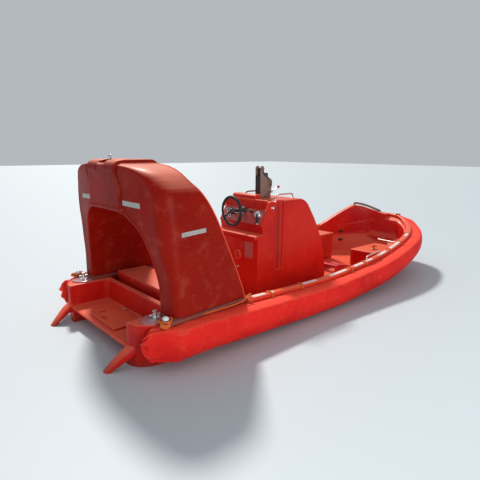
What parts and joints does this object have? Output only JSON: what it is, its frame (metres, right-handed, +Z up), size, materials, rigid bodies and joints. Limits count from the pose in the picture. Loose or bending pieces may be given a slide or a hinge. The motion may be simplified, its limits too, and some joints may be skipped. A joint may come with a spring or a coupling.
{
  "type": "fast rescue boat",
  "caption": "Open waterjet rescue boat afloat: stiff hull with fabric fender collar, aft canopy arch, console with wheel, engine casing with lifting hook.",
  "frame": {"origin": "on the waterline amidships, in the middle plane, 2.9 m ahead of the transom", "axes": "+X forward, +Y to port, +Z up"},
  "size_m": [6.441, 2.394, 2.3323],
  "materials": {
    "hull_gelcoat": "glossy orange red gelcoat",
    "canopy_gelcoat": "glossy orange red gelcoat",
    "lip_gelcoat": "glossy gelcoat with grey reflecting tape",
    "fender_fabric": "coated fabric cover, satin",
    "black_plastic": "matt",
    "dash_panel": "satin",
    "grey_plastic": "weathered",
    "red_plastic": "satin",
    "orange_plastic": "satin",
    "lamp_dome": "clear white",
    "steel": "satin stainless",
    "jet_alloy": "cast",
    "engine_iron": "painted"
  },
  "bodies": {
    "boat": {"hull": "hull_gelcoat", "stern_moulding": "hull_gelcoat", "hull_side_port": "hull_gelcoat", "hull_side_starboard": "hull_gelcoat", "bow_moulding": "hull_gelcoat", "gunwale_lip": "lip_gelcoat", "fender_collar": "fender_fabric", "canopy": "canopy_gelcoat", "canopy_flange_port": "canopy_gelcoat", "canopy_flange_starboard": "canopy_gelcoat", "arch_ring": "black_plastic", "aft_bench": "hull_gelcoat", "console": "hull_gelcoat", "engine_casing": "hull_gelcoat", "engine_block": "engine_iron", "dash_panel": "dash_panel", "throttle": "black_plastic", "console_vent": "hull_gelcoat", "hook_pedestal": "hull_gelcoat", "hook_frame": "steel", "release_lever": "red_plastic", "seat_locker": "hull_gelcoat", "stretcher": "red_plastic", "bow_locker": "hull_gelcoat", "painter_release": "orange_plastic", "jet_tailpipe": "jet_alloy", "intake_grille": "steel", "hatch_hinge_port": "steel", "hatch_hinge_starboard": "steel", "casing_rail_port": "steel", "casing_rail_starboard": "steel", "stern_bollard_port": "steel", "stern_bollard_starboard": "steel", "quarter_light_port": "lamp_dome", "quarter_light_starboard": "lamp_dome", "jet_guard_port": "hull_gelcoat", "jet_guard_starboard": "hull_gelcoat", "lip_rail_starboard": "steel", "lip_rail_port": "grey_plastic", "bow_rail": "steel"},
    "nozzle": {"steering_nozzle": "jet_alloy"},
    "bucket": {"reverse_bucket": "jet_alloy"},
    "wheel": {"steering_wheel": "black_plastic"},
    "hatch": {"stern_hatch": "hull_gelcoat"},
    "jaw": {"hook_jaw": "steel"}
  },
  "joints": [
    {"name": "nozzle_steer", "type": "hinge", "parent": "boat", "child": "nozzle", "pos_m": [-3.068, 0, -0.175], "axis": [0, 0, 1], "range_deg": [-27, 27]},
    {"name": "wheel_turn", "type": "hinge", "parent": "boat", "child": "wheel", "pos_m": [-1.03, 0, 1.212], "axis": [-1, 0, 0], "range_deg": [-540, 540]},
    {"name": "bucket_drop", "type": "hinge", "parent": "nozzle", "child": "bucket", "pos_m": [-3.162, 0, -0.135], "axis": [0, -1, 0], "range_deg": [0, 60]},
    {"name": "hatch_lift", "type": "hinge", "parent": "boat", "child": "hatch", "pos_m": [-2.489, 0, 0.19], "axis": [0, 1, 0], "range_deg": [0, 90]},
    {"name": "hook_swing", "type": "hinge", "parent": "boat", "child": "jaw", "pos_m": [-0.53, 0, 1.735], "axis": [0, -1, 0], "range_deg": [0, 60]}
  ],
  "couplings": [
    {"joint": "wheel_turn", "follows": "nozzle_steer", "ratio": 20}
  ]
}
